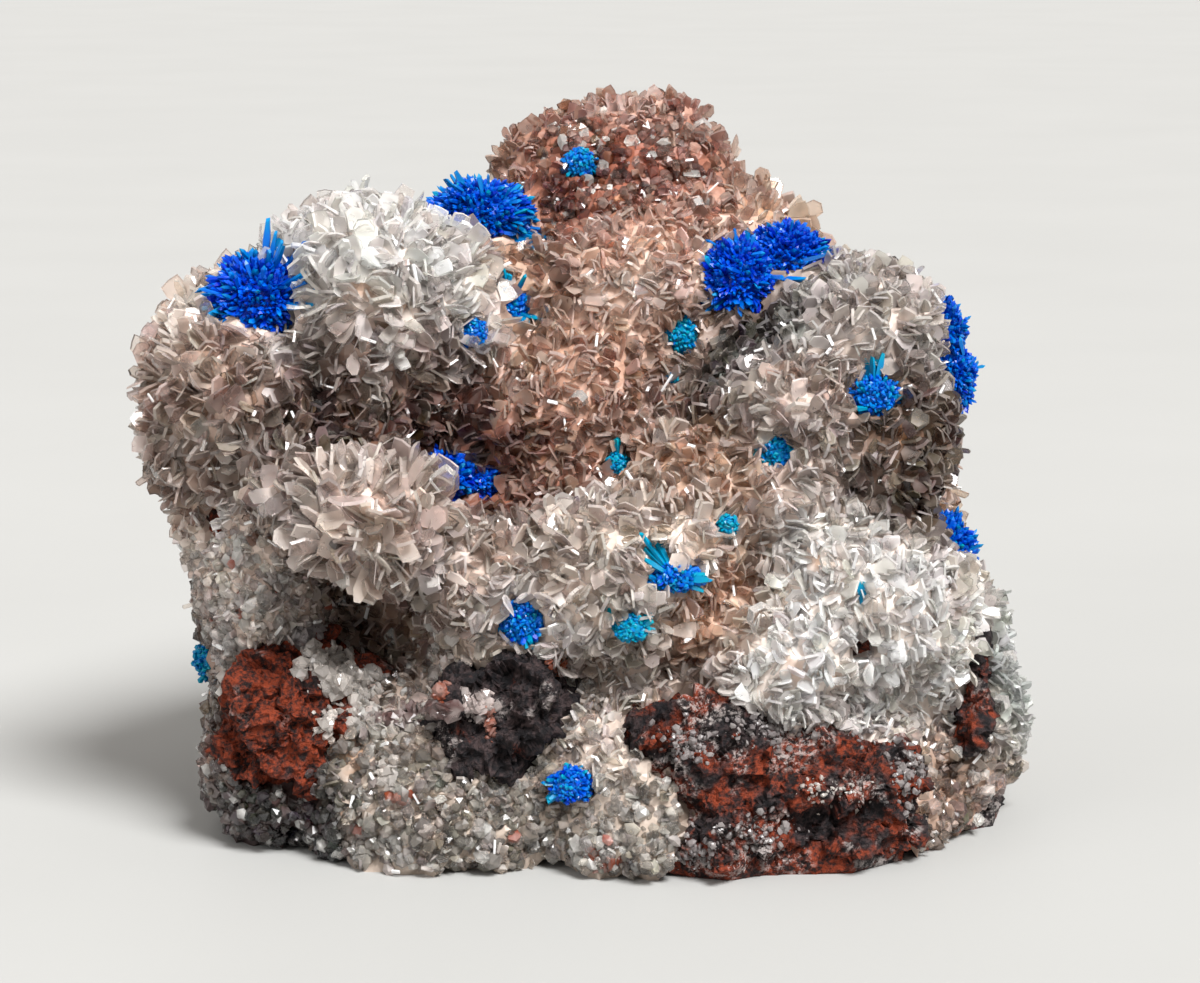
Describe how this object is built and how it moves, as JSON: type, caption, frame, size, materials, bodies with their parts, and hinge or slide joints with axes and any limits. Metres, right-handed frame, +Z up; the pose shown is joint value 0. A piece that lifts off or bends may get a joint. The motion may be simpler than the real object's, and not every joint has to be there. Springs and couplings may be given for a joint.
{
  "type": "cavansite cluster",
  "caption": "Mineral specimen: blue cavansite rosettes on a knobbly crust of pale stilbite crystals grown round red basalt, standing on a flat broken foot.",
  "frame": {"origin": "middle of the specimen's footprint, on the surface that it stands on", "axes": "+X along the width to the picture's right, +Y to the back, +Z up; the front faces -Y"},
  "size_m": [0.0492, 0.0368, 0.0398],
  "materials": {
    "stilbite": "clear to cream crystals with a glassy to pearly lustre",
    "basalt": "rough and matt, brick red to dark grey-brown",
    "cavansite": "deep blue glassy needles, turquoise at the thin ends"
  },
  "bodies": {
    "root": {"stilbite_crust": "stilbite", "basalt_left": "basalt", "basalt_middle": "basalt", "basalt_right": "basalt", "basalt_right_edge": "basalt", "basalt_right_foot": "basalt", "basalt_back": "basalt", "basalt_chip_left": "basalt", "basalt_chip_right": "basalt", "cavansite_left_dome": "cavansite", "cavansite_behind_dome": "cavansite", "cavansite_peak": "cavansite", "cavansite_right_crown": "cavansite", "cavansite_hollow": "cavansite", "cavansite_dome_side": "cavansite", "cavansite_dome_side_small": "cavansite", "cavansite_right_arm": "cavansite", "cavansite_arm_tip": "cavansite", "cavansite_right_side": "cavansite", "cavansite_right_side_small": "cavansite", "cavansite_right_swell": "cavansite", "cavansite_valley": "cavansite", "cavansite_centre": "cavansite", "cavansite_mound": "cavansite", "cavansite_mound_left": "cavansite", "cavansite_mound_low": "cavansite", "cavansite_mound_right": "cavansite", "cavansite_left_wall": "cavansite", "cavansite_foot": "cavansite", "cavansite_back_left": "cavansite", "cavansite_back_right": "cavansite", "cavansite_back_middle": "cavansite"}
  },
  "joints": []
}
